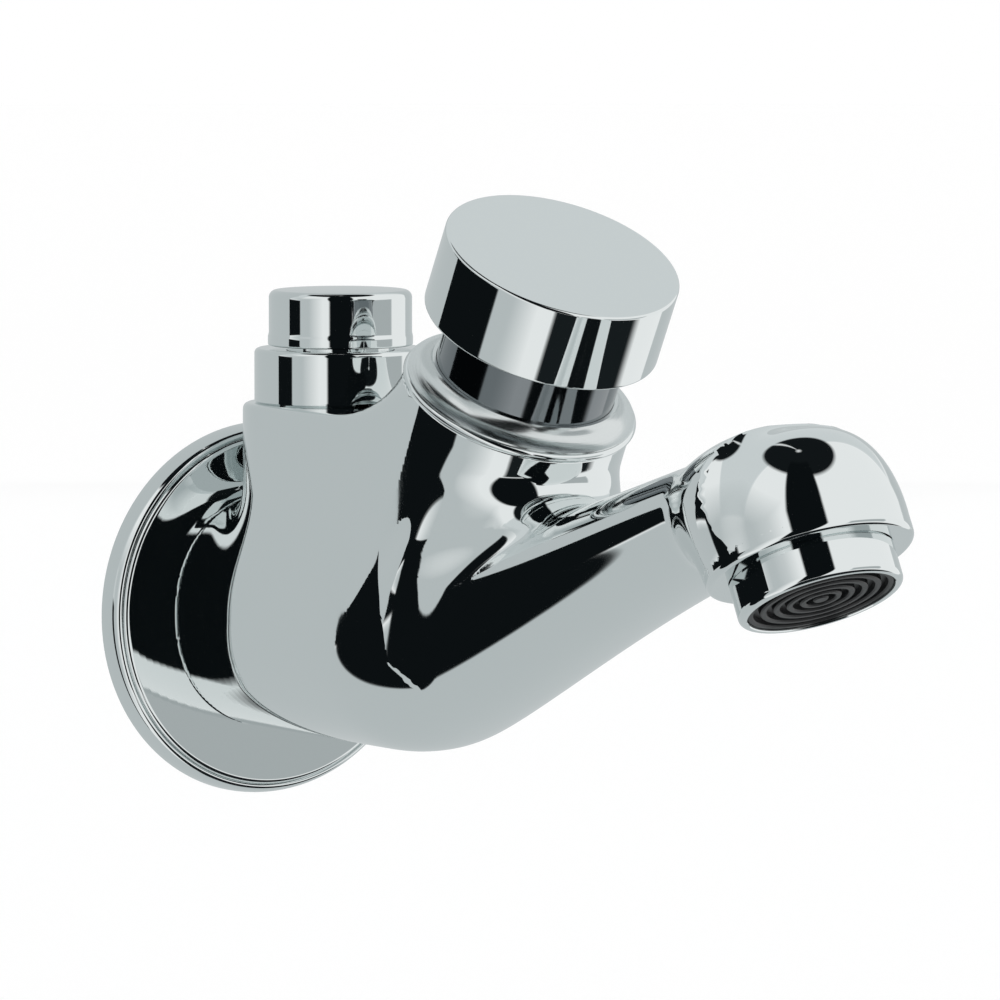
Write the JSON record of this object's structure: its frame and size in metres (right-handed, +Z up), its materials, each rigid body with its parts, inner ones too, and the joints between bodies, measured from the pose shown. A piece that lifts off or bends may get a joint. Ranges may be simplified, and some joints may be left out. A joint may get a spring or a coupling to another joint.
{
  "type": "push timed tap",
  "caption": "Wall-mounted self-closing push tap: barrel body with rear control cock, leaning press button over a metering cartridge, rising spout with aerator outlet.",
  "frame": {"origin": "centre of the wall flange's back face, on the inlet thread's axis", "axes": "+Y into the wall along the inlet thread, -Y the way the spout points, +Z up, X across the plane of symmetry"},
  "size_m": [0.06, 0.18, 0.0992],
  "materials": {
    "polished_chrome": "bright polished chrome plate on brass",
    "turned_chrome": "chrome plate over fine turning marks",
    "brass": "machined",
    "stainless_steel": "drawn or ground",
    "black_rubber": "moulded, matt",
    "black_plastic": "moulded acetal",
    "white_plastic": "moulded"
  },
  "bodies": {
    "tap": {"body": "polished_chrome", "wall_flange": "polished_chrome", "cartridge_collar": "turned_chrome", "stem_wiper": "black_rubber", "cartridge_barrel": "brass", "barrel_head": "brass", "barrel_gasket": "black_rubber", "barrel_orings": "black_rubber", "rod_seal": "black_rubber", "valve_seat": "brass", "return_spring": "stainless_steel", "bonnet_ring": "polished_chrome", "control_bonnet": "brass", "bonnet_gasket": "black_rubber", "spindle_oring": "black_rubber", "control_seat": "brass", "aerator_housing": "polished_chrome", "aerator_insert": "black_plastic", "aerator_screen": "stainless_steel", "aerator_strainer": "white_plastic", "aerator_washer": "black_rubber"},
    "plunger": {"push_button": "polished_chrome", "button_sleeve": "polished_chrome", "plunger_rod": "stainless_steel", "piston": "brass", "piston_seal": "black_rubber", "valve_washer": "black_rubber", "valve_disc": "brass", "valve_nut": "brass"},
    "control": {"control_cap": "polished_chrome", "control_spindle": "brass", "spindle_clip": "stainless_steel"},
    "jumper": {"control_jumper": "brass", "jumper_washer": "black_rubber", "jumper_screw": "brass"}
  },
  "joints": [
    {"name": "button_press", "type": "slide", "parent": "tap", "child": "plunger", "axis": [0, 0.471, -0.8821], "range_m": [0, 0.008], "stiffness_N_per_m": 1500, "springref_m": -0.006, "deforming": ["return_spring"]},
    {"name": "control_turn", "type": "hinge", "parent": "tap", "child": "control", "pos_m": [0, -0.0238, 0.045], "axis": [0, 0, 1], "range_deg": [-720, 0]},
    {"name": "jumper_lift", "type": "slide", "parent": "tap", "child": "jumper", "axis": [0, 0, 1], "range_m": [-0.004, 0]}
  ],
  "couplings": [
    {"joint": "jumper_lift", "follows": "control_turn", "m_per_rad": 0.0003183}
  ]
}
